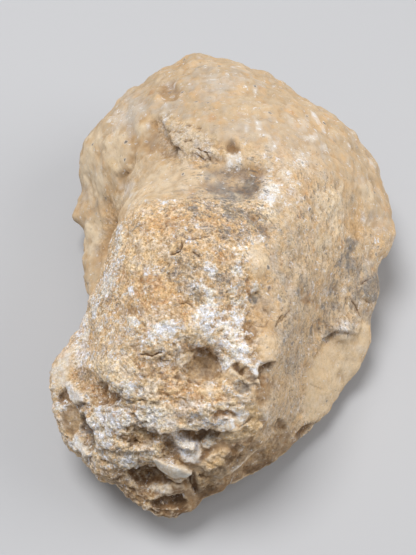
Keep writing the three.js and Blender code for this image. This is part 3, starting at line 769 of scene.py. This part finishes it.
class View:
    """Where the stone's points fall in the frame, and which of them face the camera."""

    def __init__(self, points, faces):
        self.uv = project(points)
        towards = EYE - points
        towards /= np.linalg.norm(towards, axis=1, keepdims=True)
        self.facing = np.sum(normals_of(points, faces) * towards, axis=1)
        self.seen = smoothstep(0.02, 0.20, self.facing)  # 0 where the stone turns away
        self.open = smoothstep(0.25, 0.60, self.facing)  # 0 towards the outline too, where a line would smear

    def inside(self, outline, reach=14.0):
        """(points near a closed outline, and their pixels inside it: above 0 inside, below 0 outside)."""
        low, high = outline.min(0) - reach, outline.max(0) + reach
        near = np.flatnonzero(np.all((self.uv > low) & (self.uv < high), axis=1) & (self.seen > 0))
        uv = self.uv[near]
        distance = np.full(len(near), reach)
        within = np.zeros(len(near), bool)
        for a, b in zip(outline, np.roll(outline, -1, axis=0)):
            t = np.clip((uv - a) @ (b - a) / ((b - a) @ (b - a)), 0, 1)
            distance = np.minimum(distance, np.linalg.norm(uv - a - t[:, None] * (b - a), axis=1))
            if a[1] != b[1]:
                crossing = (b[0] - a[0]) * (uv[:, 1] - a[1]) / (b[1] - a[1]) + a[0]
                within ^= ((a[1] > uv[:, 1]) != (b[1] > uv[:, 1])) & (uv[:, 0] < crossing)
        return near, np.where(within, distance, -distance)

    def along(self, pixels):
        """(signed pixels from a line, above 0 below it, and the share of the line that has been walked)."""
        best = np.full(len(self.uv), np.inf)
        signed = np.full(len(self.uv), np.inf)
        share = np.zeros(len(self.uv))
        steps = np.linalg.norm(np.diff(pixels, axis=0), axis=1)
        walked = 0.0
        for a, b, step in zip(pixels[:-1], pixels[1:], steps):
            t = np.clip((self.uv - a) @ (b - a) / step ** 2, 0, 1)
            away = self.uv - (a + t[:, None] * (b - a))
            distance = np.linalg.norm(away, axis=1)
            side = np.sign((b - a)[0] * away[:, 1] - (b - a)[1] * away[:, 0])
            closer = distance < best
            best = np.where(closer, distance, best)
            signed = np.where(closer, side * distance, signed)
            share = np.where(closer, (walked + t * step) / steps.sum(), share)
            walked += step
        return signed, share



# ------ the stone's shape

RELIEF = 0.45  # how much of the areas' relief is used
OUTLINE_GAIN = 1.3  # makes up for what smoothing takes off the moves of the outline
OUTLINE_BAND = 0.5  # how far the stone may turn to the camera and still move with its outline
CROWN = np.array([-6.0, -30.0, 0.0])  # the middle of the arcs round the crown of the ridge, in mm
CROWN_RADIUS = 17.0
FLANK_X = 9.0  # where the flank right of the ridge begins, in mm
SKIN_STRETCH = [1.0, 0.6, 0.6]  # blotches and dents of the smooth skin are longer along the stone than across
FLANK_ROUGH, UNDER_ROUGH, SKIN_ROUGH = 0.62, 0.5, 0.22  # how rough, where the ridge and the broken end are 1
LIP_OUTWARD = np.array([0, -0.4, 0.2])  # lips lean towards the viewer and up
# Chunks of the broken end, large and small: how flat they lie, their size in mm and their seed, how far they
# stand out, tilt and are cut in between, in mm, and the cut's width as a share of the size.
CHUNKS = ((1.4, 3.4, 62, 0.16, 0.19, 0.08, 0.12), (1.3, 1.5, 72, 0.08, 0.15, 0.06, 0.14))
CRUST_TOP = 33.0  # mm above the floor: below it the smooth flank reaches further left


def lower_right(z):
    """How far the smooth flank reaches to the left, in mm, below the crust of the end."""
    return 0.78 * np.clip(CRUST_TOP - z, 0, 20)


def rough_share(points):
    """How rough the crust is: 1 on the ridge and the broken end, less on the flank, least on the skin."""
    x, y, z = points.T
    wander = layered(points, 9, 11, 3) * 6
    behind = -8.0 - y + 0.6 * np.minimum(x + 22, 0)  # mm in front of the saddle, which bends back on the left
    right = 7.0 - x + 0.1 * (y + 30) - lower_right(z)  # mm to the left of the ridge's right edge
    ridge = smoothstep(-6.0, 7.0, np.minimum(behind, right) + wander)
    flank = FLANK_ROUGH * smoothstep(14, -4, y + wander) * smoothstep(-8, 2, x)
    under = UNDER_ROUGH * smoothstep(12, 4, z)
    return np.maximum(np.maximum(ridge, flank), np.maximum(under, SKIN_ROUGH))


def broken_share(points):
    """1 on the broken end face."""
    x, y, z = points.T
    wander = layered(points, 8, 23, 2) * 3
    right = x + 0.2 * (y + 40) + lower_right(z) + wander  # mm from the end's middle towards the flank
    return smoothstep(-33.0, -40.0, y + wander) * smoothstep(8.0, 2.0, right)


def move_outline(points, faces):
    """Moves the outline that the camera sees in or out a little, here and there."""
    view = View(points, faces)
    edge = np.exp(-(relaxed(view.facing, faces, 20) / OUTLINE_BAND) ** 2)
    out = np.zeros(len(points))
    for u, v, pixels, reach in MOVE_LIST:
        out += OUTLINE_GAIN * pixels * np.exp(-np.sum((view.uv - (u, v)) ** 2, axis=1) / (2 * reach ** 2))
    depth = (points - EYE) @ FORWARD
    push = relaxed(out * edge * depth / FOCAL, faces, 8)
    return points + relaxed(normals_of(points, faces), faces, 8) * push[:, None]


def carve_areas(points, faces, view):
    """(the points with the areas pressed in or raised, how calm and how crumbled each is)."""
    normals = normals_of(points, faces)
    wander = layered(points, 2.4, 31, 3) * 3.5 + layered(points, 0.8, 34, 2)  # pixels
    out = np.zeros(len(points))
    calm = np.zeros(len(points))
    crumble = np.zeros(len(points))
    for place in AREA_LIST:
        near, inside = view.inside(place["outline"])
        rim = place["rim"]
        cover = smoothstep(-0.5 * rim, 0.5 * rim, inside + wander[near] * min(rim / 5, 1.0)) * view.seen[near]
        low = place["outline"].min(0)
        half = (place["outline"].max(0) - low) / 2
        offset = (view.uv[near] - low - half) / half
        out[near] += RELIEF * place["relief"] * cover * np.clip(1 + offset @ place["lean"], 0, 2)
        calm[near] = np.maximum(calm[near], place["calm"] * cover)
        crumble[near] = np.maximum(crumble[near], place["crumble"] * cover)
    return points + normals * out[:, None], calm, crumble


def carve_lines(points, faces, view):
    """Raises the lips of the ledges, cuts in below them and cuts the creases."""
    normals = normals_of(points, faces)
    wobble = layered(points, 2.6, 41, 3) * 4.0  # pixels
    push = np.zeros(len(points))
    for pixels, lip, cut in LEDGE_LIST:
        below, share = view.along(pixels)
        below = below + wobble
        taper = view.seen * smoothstep(0.0, 0.12, share) * smoothstep(1.0, 0.88, share)
        above = lip * np.exp(-np.minimum(below, 0) ** 2 / 30) * (below < 0)
        fade = np.exp(-np.maximum(below, 0) / 6)
        under = lip * smoothstep(2.5, 0, below) - cut * smoothstep(0, 3, below) * fade
        push += taper * np.where(below < 0, above, under)
    outward = normals + LIP_OUTWARD
    outward /= np.linalg.norm(outward, axis=1, keepdims=True)

    groove = np.zeros(len(points))
    for pixels, half, depth in CREASE_LIST:
        below, share = view.along(pixels)
        taper = smoothstep(0.0, 0.15, share) * smoothstep(1.0, 0.85, share)
        groove += depth * taper * np.exp(-((below + wobble * 0.3) / half) ** 2)
    return points + outward * push[:, None] - normals * (groove * view.open)[:, None]


def strata(points):
    """Coordinates in mm in which noise lies in streaks: arcs round the crown, and down the flank."""
    away = points - CROWN
    angle = np.arctan2(away[:, 0], away[:, 1])
    radius = np.hypot(away[:, 0], away[:, 1])
    arcs = np.stack([angle * CROWN_RADIUS / 3.0, radius * 1.3, points[:, 2] * 0.4], -1)
    down = points * [1.3, 0.35, 0.35]
    return np.where(points[:, :1] < FLANK_X, arcs, down)


def strata_share(points):
    """Where the streaks show: round the crown, in the saddle and on the flank, but not where these meet."""
    x, y, _ = points.T
    crown = smoothstep(10.0, 3.0, y) * smoothstep(-32.0, -24.0, y) * smoothstep(FLANK_X, FLANK_X - 5, x)
    flank = smoothstep(8.0, 0.0, y) * smoothstep(FLANK_X, FLANK_X + 4, x) * smoothstep(30.0, 20.0, x)
    return crown + flank


def carve_grain(points, faces, calm, crumble, hidden):
    """Lumps, chips and grain, coarser on the broken end than on the skin, and dents on the hidden side."""
    rough = rough_share(points)
    broken = np.maximum(broken_share(points), crumble)
    rough = np.maximum(rough, crumble)
    normals = relaxed(normals_of(points, faces), faces, 3)
    lumps = 0.50 * layered(points, 8.0, 51, 3) + (0.70 - 0.36 * rough) * layered(points, 3.4, 54, 2)

    # Chips have ragged borders, because their cells are taken at points that wander.
    spread = points + np.stack([layered(points, 1.6, 61 + k, 2) for k in range(3)], -1) * 0.6
    chunks = 0.0
    for flat, size, seed, step, tilt, gap, width in CHUNKS:
        border, own, slope = chips(spread * [1, 1, flat], size, seed)
        chunks = chunks + (step * (own - 0.5) + tilt * slope - gap * smoothstep(width, 0.0, border))

    rings = layered(strata(points), 1.0, 75, 2) * strata_share(points)
    crust = 0.34 * layered(points, 1.5, 71, 3) + 0.14 * (ridged(points, 2.6, 76, 2) - 0.6) + 0.35 * rings
    border, _, _ = chips(spread, 0.9, 79)
    crust += 0.20 * layered(points, 0.75, 78, 2) - 0.13 * smoothstep(0.22, 0.0, border)
    long = points * SKIN_STRETCH
    skin = 0.28 * layered(long, 1.5, 81, 3) - 0.25 * smoothstep(0.15, 0.45, layered(long, 2.0, 84, 3))
    border, own, _ = chips(points, 2.3, 91)
    pits = smoothstep(0.45, 0.75, border) * (own > 0.7) * (0.30 * rough + 0.10)
    height = lumps + (1 - calm) * (broken * chunks + rough * crust + (1 - rough) * skin - pits)
    height += hidden * (1.5 * layered(points, 15.0, 95, 2) + 0.9 * (0.55 - ridged(points, 9.0, 97, 2)))
    return points + normals * height[:, None]


def stone_points(mesh):
    """(points, faces, the view of the smooth stone, how calm and how crumbled each point is)."""
    points, faces = welded(mesh)
    points, faces = loop_subdivided(points, faces)

    # The upper surface is made finer, and then the ridge and the broken end, which have the finest grain.
    middle = points[faces].mean(1)
    up = normals_of(points, faces)[faces].mean(1)[:, 2]
    points, faces = refined(points, faces, (up > -0.35) & (middle[:, 2] > 2.0))
    middle = points[faces].mean(1)
    towards = normals_of(points, faces)[faces].mean(1) @ -FORWARD
    points, faces = refined(points, faces, (middle[:, 1] < -9) & (middle[:, 0] < 8) & (towards > -0.05))
    points = move_outline(relaxed(points, faces, 2), faces)

    view = View(points, faces)
    carved, calm, crumble = carve_areas(points, faces, view)
    carved = carve_lines(carved, faces, view)
    carved = carve_grain(carved, faces, calm, crumble, smoothstep(0.0, -0.35, view.facing))
    carved[:, 2] = np.maximum(carved[:, 2], 0)
    return carved, faces, view, calm, crumble


# ------ the stone's colours

WHITE, DARK, RUSTY = 0, 1, 2  # the channels of specks
# Colours that are laid on as grains: their channel, the ground between the grains, and how dense they are.
GRAINS = {"CHALK": (WHITE, "CHALKY", 1.0), "FROST": (WHITE, "FROST", 1.0), "SLATE": (DARK, "GREY", 0.7),
          "RUST": (RUSTY, "OCHRE", 0.8)}
# Blotches of the smooth skin: colour, the noise at which they are full, size in mm, seed and strength.
SKIN_BLOTCHES = (("ASH*1.1", 0.40, 2.6, 181, 0.5), ("APRICOT", 0.40, 2.2, 191, 0.4),
                 ("TAN", 0.35, 1.8, 201, 0.45))
# Stray grains: their channel, the colour they leave, how much of it anywhere and how much more on the skin.
STRAY_COLOURS = ((WHITE, "CHALK", 0.3, 0.4), (DARK, "SLATE", 0.2, 0.2), (RUSTY, "RUST", 0.15, 0.3))
WIDEST_CRACK = 2  # pixels: a wider crease is only shaded
NO_CRACK = 9.0  # pixels: further than a crack is seen


def blend(base, colour, share):
    return base + (colour_of(colour) - base) * np.clip(share, 0, 1)[:, None]


def paint(points, faces, view, calm, crumble):
    """(tint, specks, numbers): the colour, with painted shade in it, the shares of white, dark and rusty
    grains, and numbers by name.

    The numbers are how strong the grain and the dark streaks are, the pixels to the nearest crack, and how
    open that is.
    """
    level = relaxed(points, faces, 6)
    rough = rough_share(level)
    broken = broken_share(level)
    smooth = 1 - rough
    long = points * SKIN_STRETCH
    normals = normals_of(points, faces)
    # How far each point lies below its surroundings, near and wide, in mm.
    fine = np.sum((relaxed(points, faces, 4) - points) * normals, axis=1)
    broad = np.sum((relaxed(points, faces, 40) - points) * normals, axis=1)

    wide = layered(points, 16, 101, 4)
    mottle = layered(points, 4.5, 111, 4)
    small = layered(points, 1.4, 121, 3)
    # Painted shade: the colour is made a little darker towards the back of the stone.
    far = smoothstep(0.0, 30.0, points[:, 1])
    tint = colour_of("BUFF") * (0.68 + 0.38 * rough - 0.08 * far)[:, None]
    tint = blend(tint, "SKIN", smoothstep(-0.1, 0.35, wide + 0.4 * mottle) * 0.5)
    tint = blend(tint, "OCHRE", smoothstep(0.0, 0.35, mottle - 0.3 * wide) * (0.42 + 0.18 * rough))
    tint = blend(tint, "CREAM", smoothstep(0.0, 0.4, small) * 0.35 * (0.2 + 0.8 * rough))
    for colour, full, size, seed, strength in SKIN_BLOTCHES:
        tint = blend(tint, colour, smoothstep(0.15, full, layered(long, size, seed, 3)) * strength * smooth)
    tint *= (1 + 0.24 * smooth * layered(long, 2.8, 211, 3))[:, None]
    tint = blend(tint, "OCHRE", smoothstep(0.0, -0.4, small) * (0.25 + 0.35 * rough))
    # Painted shade: faces that turn down are painted darker.
    tint = blend(tint, "DUST*0.8", smoothstep(0.1, -0.6, normals[:, 2]) * 0.7)

    # Grains of each kind: on rough ground everywhere, and in stray patches on the skin.
    stray = np.stack([smoothstep(0.28, 0.52, layered(long, 3.2, 171 + 10 * k, 4)) for k in range(3)], -1)
    specks = np.stack([0.02 + 0.30 * rough + 0.15 * broken + 0.4 * stray[:, WHITE],
                       0.38 * rough + 0.4 * stray[:, DARK],
                       0.35 * rough + 0.4 * stray[:, RUSTY]], -1)
    for channel, colour, everywhere, on_skin in STRAY_COLOURS:
        tint = blend(tint, colour, stray[:, channel] * (everywhere + on_skin * smooth))

    # The areas' colours have ragged edges, and grey ones break up into streaks where there are strata.
    wander = layered(points, 2.2, 131, 4) * 1.6 + 0.4 * small
    clumps = layered(points, 0.9, 141, 3)
    bands = 1 - 0.75 * strata_share(points) * smoothstep(0.12, -0.08, layered(strata(points), 2.2, 151, 3))
    for place in AREA_LIST:
        if place["colour"] == "none":
            continue
        near, inside = view.inside(place["outline"])
        rim = place["rim"]
        cover = smoothstep(-0.6 * rim, 0.6 * rim, inside + wander[near] * rim) * view.seen[near]
        laid = cover * place["share"] * (1 + 0.5 * small[near] + 0.5 * clumps[near])
        channel, ground, density = GRAINS.get(place["colour"], (None, place["colour"], 0))
        if channel == DARK:
            laid *= bands[near]
        plain = place["colour"] == "UMBER" or place["calm"] > 0.4
        specks[near] *= 1 - (0.9 if plain else 0.4) * laid[:, None].clip(0, 1)
        if channel is None:
            tint[near] = blend(tint[near], ground, laid * 0.8)
        else:
            tint[near] = blend(tint[near], ground, laid * (0.4 + 0.5 * smooth[near]))
            specks[near, channel] += density * laid * (1 - 0.6 * smooth[near])

    # Painted shade: each crease is painted browner along its line, and the narrow ones are also drawn as thin
    # dark cracks in the shader.
    crack = np.full(len(points), NO_CRACK)
    cracked = np.zeros(len(points))
    for pixels, half, depth in CREASE_LIST:
        below, share = view.along(pixels)
        taper = smoothstep(0.0, 0.15, share) * smoothstep(1.0, 0.85, share) * view.open
        tint = blend(tint, "BROWN", taper * np.exp(-(below / (half + 1.0)) ** 2) * min(depth, 1.0) * 0.6)
        if half > WIDEST_CRACK:
            continue
        closer = np.abs(below) < np.abs(crack)
        crack = np.where(closer, below, crack)
        cracked = np.where(closer, taper * np.exp(-(below / 2.2) ** 2) * min(2 * depth, 1.2), cracked)

    # Crests are paler. Painted shade: hollows are darker, and deep places darker still.
    crest = smoothstep(-0.02, -0.12, fine)
    hollow = smoothstep(0.02, 0.14, fine)
    deep = smoothstep(0.05, 0.6, broad)
    tint = blend(tint, "CREAM", crest * (0.15 + 0.35 * broken))
    tint = blend(tint, "BROWN", hollow * (0.25 + 0.25 * rough))
    tint = blend(tint, "UMBER", deep * 0.45 * rough)
    grey = tint.mean(1, keepdims=True)
    tint += (grey - tint) * (0.02 * rough + 0.05 * broken)[:, None]
    grain = np.maximum(rough ** 1.5, 0.7 * crumble.clip(0, 1)) * (1 - 0.7 * calm)
    specks *= (1 - 0.6 * calm)[:, None]
    left = smoothstep(-18.0, -6.0, points[:, 0])
    streaks = strata_share(points) * (0.65 + 1.2 * wide) * (1 - calm) * left
    numbers = {"grain": grain, "streaks": np.clip(streaks, 0, 1), "crack": crack, "cracked": cracked}
    return tint, np.clip(specks, 0, 1), numbers


# ------ material

class Nodes:
    """Short calls for the shader tree."""

    def __init__(self, material):
        material.use_nodes = True
        self.tree = material.node_tree
        self.tree.nodes.clear()

    def put(self, node, name, value):
        socket = node.inputs[name if isinstance(name, int) else name.replace("_", " ")]
        if isinstance(value, bpy.types.NodeSocket):
            self.tree.links.new(value, socket)
        else:
            socket.default_value = value

    def add(self, kind, **inputs):
        node = self.tree.nodes.new(kind)
        for name, value in inputs.items():
            self.put(node, name, value)
        return node

    def attribute(self, name):
        node = self.add("ShaderNodeAttribute")
        node.attribute_name = name
        return node

    def noise(self, place, size_mm, detail=3.0, rough=0.55, bent=0.0):
        node = self.add("ShaderNodeTexNoise", Vector=place, Scale=1000 / size_mm, Detail=detail,
                        Roughness=rough, Distortion=bent)
        return node.outputs["Fac"]

    def math(self, operation, *values):
        node = self.add("ShaderNodeMath")
        node.operation = operation
        for k, value in enumerate(values):
            self.put(node, k, value)
        return node.outputs[0]

    def times(self, a, b):
        return self.math("MULTIPLY", a, b)

    def less(self, a, b):
        return self.math("SUBTRACT", a, b)

    def ramp(self, value, low, high, start=0.0, end=1.0):
        node = self.add("ShaderNodeMapRange", Value=value, From_Min=low, From_Max=high, To_Min=start,
                        To_Max=end)
        node.interpolation_type = "SMOOTHSTEP"
        return node.outputs[0]

    def mix(self, share, a, b, mode="MIX"):
        node = self.add("ShaderNodeMix")
        node.data_type = "RGBA"
        node.blend_type = mode
        self.put(node, 0, share)
        self.put(node, 6, a)
        self.put(node, 7, b)
        return node.outputs[2]


def solid(colour):
    return (*[float(c) for c in colour_of(colour)], 1.0)


PINHOLE_SPACING = 2.6  # mm
COOL = (0.97, 1.0, 1.08, 1.0)
WARM = (1.05, 0.99, 0.87, 1.0)
STREAK_WIDTH = 0.6  # in the strata's coordinates, which are in mm and not in metres as the others are
# The channel of each kind of fleck, its size in mm, its colour and how much of that is laid on.
FLECKS = ((WHITE, 1.2, "CHALK", 0.85), (RUSTY, 0.9, "RUST", 0.55), (DARK, 0.6, "SLATE*0.8", 0.7))
FLECK_LEVEL = 0.63  # how high the noise must be for a fleck where the share is 0
FLECK_SHARE = 0.18  # how much lower that is where the share is 1
FLECK_STRETCH = (0.9, 1.05, 1.1)
FLECK_SHIFT = 0.37  # m from one kind's noise to the next one's
BUMP = 0.0005  # m
ROUGHNESS = 0.92
SPECULAR = 0.25


def crust_material():
    material = bpy.data.materials.new(SLOT)
    n = Nodes(material)
    place = n.add("ShaderNodeTexCoord").outputs["Object"]
    tint = n.attribute("tint").outputs["Color"]
    specks = n.add("ShaderNodeSeparateColor", Color=n.attribute("specks").outputs["Color"])
    grain = n.attribute("grain").outputs["Fac"]

    # Flecks: each kind shows where its own noise is above a height that its share sets.
    colour = tint
    shift = 0.0
    for channel, size_mm, fleck_colour, strength in FLECKS:
        shift += FLECK_SHIFT
        moved = n.add("ShaderNodeVectorMath")
        moved.operation = "MULTIPLY_ADD"
        n.put(moved, 0, place)
        n.put(moved, 1, FLECK_STRETCH)
        n.put(moved, 2, (shift, 0.1, -shift))
        height = n.noise(moved.outputs[0], size_mm, 5.0, 0.8, 0.8)
        level = n.less(FLECK_LEVEL, n.times(specks.outputs[channel], FLECK_SHARE))
        shown = n.ramp(n.less(height, level), -0.015, 0.04, 0.0, strength)
        colour = n.mix(shown, colour, solid(fleck_colour))

    # Grains a little warmer or cooler, then mottling in two sizes: light grains are bluer, dark ones browner.
    warm = n.ramp(n.noise(place, 1.7, 4.0, 0.8), 0.44, 0.56)
    hue = n.mix(warm, COOL, WARM)
    colour = n.mix(n.ramp(grain, 0.0, 1.0, 0.2, 1.0), colour, n.mix(1.0, colour, hue, "MULTIPLY"))
    mid = n.noise(place, 1.6, 4.0, 0.65)
    fine = n.noise(place, 0.55, 2.0, 0.85)
    coarse_part = n.times(n.ramp(grain, 0.05, 0.7, 0.08, 0.55), n.less(mid, 0.5))
    fine_part = n.times(n.times(grain, 2.4), n.less(fine, 0.5))
    lighter = n.math("ADD", coarse_part, fine_part)
    shades = [n.math("ADD", 1.0, n.times(lighter, share)) for share in (0.85, 1.0, 1.25)]
    shade = n.add("ShaderNodeCombineColor", Red=shades[0], Green=shades[1], Blue=shades[2]).outputs[0]
    colour = n.mix(1.0, colour, shade, "MULTIPLY")

    # Dark streaks; thin cracks, painted dark as painted shade; and pinholes with pale rims on the smooth
    # skin, whose dark middles are painted shade.
    line = n.noise(n.attribute("strata").outputs["Vector"], STREAK_WIDTH * 1000, 4.0, 0.7)
    shown = n.ramp(n.less(line, 0.52), 0.0, 0.05, 0.0, 0.9)
    shown = n.times(shown, n.attribute("streaks").outputs["Fac"])
    shown = n.times(shown, n.ramp(n.noise(place, 1.3, 3.0, 0.7), 0.46, 0.56))
    colour = n.mix(shown, colour, solid("SLATE*0.7"))
    ragged = n.times(n.less(n.noise(place, 0.8, 3.0, 0.7), 0.5), 4.0)
    from_crack = n.math("ABSOLUTE", n.math("ADD", n.attribute("crack").outputs["Fac"], ragged))
    shown = n.times(n.ramp(from_crack, 0.3, 0.9, 0.9, 0.0), n.attribute("cracked").outputs["Fac"])
    colour = n.mix(shown, colour, solid("UMBER*0.6"))
    cells = n.add("ShaderNodeTexVoronoi", Vector=place, Scale=1000 / PINHOLE_SPACING)
    own = n.add("ShaderNodeSeparateColor", Color=cells.outputs["Color"])
    lone = n.math("GREATER_THAN", own.outputs[0], 0.45)
    clustered = n.ramp(n.noise(place, 9.0, 2.0), 0.46, 0.56)
    skin = n.times(n.times(lone, clustered), n.ramp(grain, 0.35, 0.75, 1.0, 0.0))
    edge = n.less(cells.outputs["Distance"], n.math("MULTIPLY_ADD", own.outputs[1], 0.10, 0.03))
    edge = n.math("MULTIPLY_ADD", n.less(fine, 0.5), 0.2, edge)
    rim = n.times(skin, n.ramp(edge, 0.06, 0.14, 0.3, 0.0))
    colour = n.mix(rim, colour, solid("CHALK"))
    hole = n.times(skin, n.ramp(edge, 0.02, 0.06, 0.8, 0.0))
    colour = n.mix(hole, colour, solid("SLATE*0.6"))

    height = n.math("ADD", n.times(fine, 0.6), n.times(mid, 0.8))
    strength = n.times(grain, 0.8)
    bump = n.add("ShaderNodeBump", Strength=strength, Distance=BUMP, Height=height)
    shader = n.add("ShaderNodeBsdfPrincipled", Base_Color=colour, Roughness=ROUGHNESS, Normal=bump.outputs[0],
                   Specular_IOR_Level=SPECULAR)
    n.add("ShaderNodeOutputMaterial", Surface=shader.outputs[0])
    return material


# ------ pieces

def mesh_object(name, points, faces):
    mesh = bpy.data.meshes.new(name)
    mesh.vertices.add(len(points))
    mesh.vertices.foreach_set("co", (points * MM).astype(np.float32).ravel())
    mesh.loops.add(len(faces) * 3)
    mesh.loops.foreach_set("vertex_index", faces.astype(np.int32).ravel())
    mesh.polygons.add(len(faces))
    mesh.polygons.foreach_set("loop_start", np.arange(0, len(faces) * 3, 3, dtype=np.int32))
    mesh.polygons.foreach_set("use_smooth", np.ones(len(faces), bool))
    mesh.update(calc_edges=True)
    mesh.validate()
    piece = bpy.data.objects.new(name, mesh)
    bpy.context.scene.collection.objects.link(piece)
    return piece


def add_colour(mesh, name, rgb):
    attribute = mesh.color_attributes.new(name, "FLOAT_COLOR", "POINT")
    rgba = np.concatenate([rgb, np.ones((len(rgb), 1))], 1).astype(np.float32)
    attribute.data.foreach_set("color", rgba.ravel())


def add_number(mesh, name, values):
    attribute = mesh.attributes.new(name, "FLOAT", "POINT")
    attribute.data.foreach_set("value", values.astype(np.float32))


def make_stone():
    points, faces, view, calm, crumble = stone_points(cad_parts[NODE].data)
    tint, specks, numbers = paint(points, faces, view, calm, crumble)
    stone = mesh_object("geode_stone", points, faces)
    add_colour(stone.data, "tint", tint)
    add_colour(stone.data, "specks", specks)
    for name, values in numbers.items():
        add_number(stone.data, name, values)
    attribute = stone.data.attributes.new("strata", "FLOAT_VECTOR", "POINT")
    attribute.data.foreach_set("vector", strata(points).astype(np.float32).ravel())
    stone.data.materials.append(crust_material())
    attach(stone, "root")
    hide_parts(NODE)


# ------ floor, light and world

FLOOR_SIZE = 6  # m
FLOOR_COLOUR = (0.50, 0.50, 0.51, 1)
FLOOR_ROUGHNESS = 0.8
LIGHT_AIM = (0, 0, 0.02)
# Lights by name: place and size in metres, and power in watts.
LIGHTS = {"key": ((-0.22, 0.12, 0.82), 0.45, 6.0), "fill": ((0.75, 0.0, 0.42), 0.8, 3.8)}
WORLD_COLOUR = (0.94, 0.96, 1.0, 1)
WORLD_STRENGTH = 0.32


def make_floor():
    bpy.ops.mesh.primitive_plane_add(size=FLOOR_SIZE)
    floor = bpy.context.object
    floor.name = "floor"
    material = bpy.data.materials.new("floor")
    material.use_nodes = True
    shader = material.node_tree.nodes["Principled BSDF"]
    shader.inputs["Base Color"].default_value = FLOOR_COLOUR
    shader.inputs["Roughness"].default_value = FLOOR_ROUGHNESS
    floor.data.materials.append(material)


def add_light(name, place, size, power):
    data = bpy.data.lights.new(name, "AREA")
    data.shape = "DISK"
    data.size = size
    data.energy = power
    light = bpy.data.objects.new(name, data)
    bpy.context.scene.collection.objects.link(light)
    light.location = place
    light.rotation_euler = (Vector(LIGHT_AIM) - Vector(place)).to_track_quat("-Z", "Y").to_euler()


def make_lights():
    for name, values in LIGHTS.items():
        add_light(name, *values)
    world = bpy.data.worlds.new("studio")
    bpy.context.scene.world = world
    world.use_nodes = True
    background = world.node_tree.nodes["Background"]
    background.inputs["Color"].default_value = WORLD_COLOUR
    background.inputs["Strength"].default_value = WORLD_STRENGTH


make_camera()
make_stone()
make_floor()
make_lights()
bpy.context.scene.view_settings.view_transform = "Standard"
